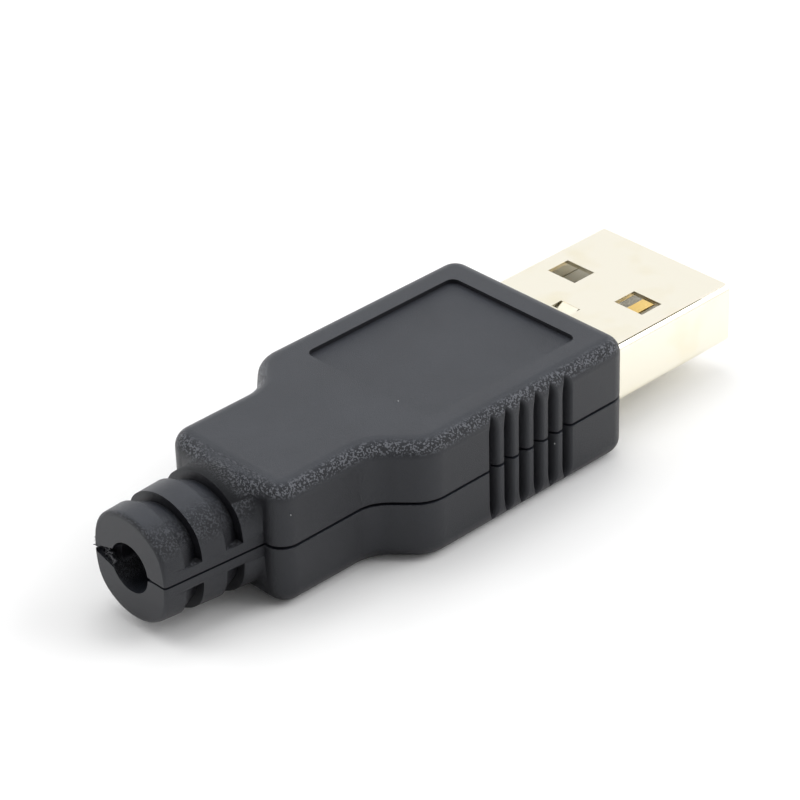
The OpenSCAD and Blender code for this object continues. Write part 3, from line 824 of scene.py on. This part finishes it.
def contact_metal(finish):
    """Gold-plated contact strip."""
    material, tree, shader = new_material("contact metal")
    grain = node(tree, "ShaderNodeGroup", node_tree=moulded_grain(), inputs={"Grain size": 0.0002, "Patch size": 0.002})
    base = mix_colours(tree, grain.outputs["Patches"], (*finish.contact, 1), (*(0.85 * c for c in finish.contact), 1))
    tree.links.new(base, shader.inputs["Base Color"])
    shader.inputs["Metallic"].default_value = 1.0
    shader.inputs["Roughness"].default_value = 0.25
    bump = node(tree, "ShaderNodeBump", inputs={"Strength": 0.1, "Distance": 0.00001})
    tree.links.new(grain.outputs["Height"], bump.inputs["Height"])
    tree.links.new(bump.outputs[0], shader.inputs["Normal"])
    return material


# ---------------------------------------------------------------- stage

class PLUG_OT_stage(bpy.types.Operator):
    """Sets up the pale floor, the white surroundings, the soft lamps and the camera"""
    bl_idname = "plug.build_stage"
    bl_label = "Build stage"

    def execute(self, context):
        floor()
        surroundings(context.scene)
        softbox("right softbox", (0.58, -0.50, 0.60), 0.30, 0.20, 0.34)
        softbox("left softbox", (-0.42, 0.62, 0.67), 0.30, 0.13, 0.12)
        softbox("top softbox", (0.05, 0.15, 1.0), 0.30, 0.18, 0.22)
        camera(context.scene)
        context.scene.view_settings.view_transform = "Standard"
        return {"FINISHED"}


def floor():
    bm = bmesh.new()
    bmesh.ops.create_grid(bm, x_segments=1, y_segments=1, size=3.0)
    mesh = bpy.data.meshes.new("floor")
    bm.to_mesh(mesh)
    bm.free()
    obj = bpy.data.objects.new("floor", mesh)
    bpy.context.scene.collection.objects.link(obj)
    material, tree, shader = new_material("floor white")
    tree.nodes.remove(shader)
    out = tree.nodes["Material Output"]
    diffuse = node(tree, "ShaderNodeBsdfDiffuse")
    path = tree.nodes.new("ShaderNodeLightPath")
    seen = maths(tree, "MAXIMUM", path.outputs["Is Camera Ray"], path.outputs["Is Glossy Ray"])
    tree.links.new(mix_colours(tree, seen, (0.8, 0.8, 0.8, 1), (1, 1, 1, 1)), diffuse.inputs["Color"])
    tree.links.new(diffuse.outputs[0], out.inputs["Surface"])
    mesh.materials.append(material)


def surroundings(scene):
    """White surroundings: fully white to the camera, dimmer on the viewer's side for everything else."""
    world = bpy.data.worlds.new("studio")
    scene.world = world
    world.use_nodes = True
    tree = world.node_tree
    background, out = tree.nodes["Background"], tree.nodes["World Output"]
    background.inputs["Color"].default_value = (1, 1, 1, 1)
    place = tree.nodes.new("ShaderNodeTexCoord")
    dot = node(tree, "ShaderNodeVectorMath", operation="DOT_PRODUCT")
    tree.links.new(place.outputs["Generated"], dot.inputs[0])
    dot.inputs[1].default_value = Vector((-0.5, -0.45, 0.74)).normalized()
    shade = node(tree, "ShaderNodeMapRange", interpolation_type="SMOOTHSTEP")
    for key, value in (("From Min", 0.52), ("From Max", 0.92), ("To Min", 1.0), ("To Max", 0.15)):
        shade.inputs[key].default_value = value
    tree.links.new(dot.outputs["Value"], shade.inputs["Value"])
    path = tree.nodes.new("ShaderNodeLightPath")
    lit = maths(tree, "MAXIMUM", shade.outputs[0], path.outputs["Is Camera Ray"])
    tree.links.new(lit, background.inputs["Strength"])
    tree.links.new(background.outputs[0], out.inputs["Surface"])


def softbox(name, direction, distance, width, energy):
    """A square lamp that faces the plug's middle."""
    data = bpy.data.lights.new(name, "AREA")
    data.shape, data.size, data.energy = "SQUARE", width, energy
    lamp = bpy.data.objects.new(name, data)
    way = Vector(direction).normalized()
    lamp.location = Vector((0, 0, JOINT_Z)) + way * distance
    lamp.rotation_mode = "QUATERNION"
    lamp.rotation_quaternion = way.to_track_quat("Z", "Y")
    bpy.context.scene.collection.objects.link(lamp)


def camera(scene):
    """Camera that looks down on the cable end from the near side."""
    azimuth, elevation, roll = math.radians(-43.147), math.radians(31.972), math.radians(-1.669)
    back = Vector((math.sin(azimuth) * math.cos(elevation), -math.cos(azimuth) * math.cos(elevation), math.sin(elevation)))
    right = Vector((math.cos(azimuth), math.sin(azimuth), 0))
    up = back.cross(right)
    right, up = (right * math.cos(roll) + up * math.sin(roll), up * math.cos(roll) - right * math.sin(roll))
    target = Vector((FRONT_X / MM - 10, 0, 4))
    place = target + back * 213.289 - right * 2.2101 + up * 0.834
    data = bpy.data.cameras.new("camera")
    data.sensor_width, data.lens = 36.0, 3270.28 * 36 / 800
    data.clip_start, data.clip_end = 0.01, 10
    obj = bpy.data.objects.new("camera", data)
    turn = Matrix((right, up, back)).transposed().to_4x4()
    obj.matrix_world = Matrix.Translation(place * MM) @ turn
    scene.collection.objects.link(obj)
    scene.camera = obj


class PLUG_PT_panel(bpy.types.Panel):
    """Lists the plug's sizes, finishes and build steps"""
    bl_idname = "PLUG_PT_panel"
    bl_label = "Plug"
    bl_space_type = "VIEW_3D"
    bl_region_type = "UI"
    bl_category = "Plug"

    def draw(self, context):
        for name in GROUPS:
            box_ui = self.layout.box()
            box_ui.label(text=name.replace("plug_", "").capitalize())
            group = getattr(context.scene, name)
            for key in group.__annotations__:
                box_ui.prop(group, key)
        for operator in OPERATORS:
            self.layout.operator(operator.bl_idname)


GROUPS = {"plug_cover": PLUG_PG_cover, "plug_grips": PLUG_PG_grips, "plug_boot": PLUG_PG_boot,
          "plug_finish": PLUG_PG_finish}
OPERATORS = (PLUG_OT_cover, PLUG_OT_shell, PLUG_OT_inside, PLUG_OT_details, PLUG_OT_stage)
CLASSES = (*GROUPS.values(), *OPERATORS, PLUG_PT_panel)


def register():
    for cls in CLASSES:
        bpy.utils.register_class(cls)
    for name, cls in GROUPS.items():
        setattr(bpy.types.Scene, name, bpy.props.PointerProperty(type=cls))


def unregister():
    for name in GROUPS:
        delattr(bpy.types.Scene, name)
    for cls in reversed(CLASSES):
        bpy.utils.unregister_class(cls)


def main():
    register()
    for operator in OPERATORS:
        area, name = operator.bl_idname.split(".")
        getattr(getattr(bpy.ops, area), name)()


if __name__ == "__main__":
    main()
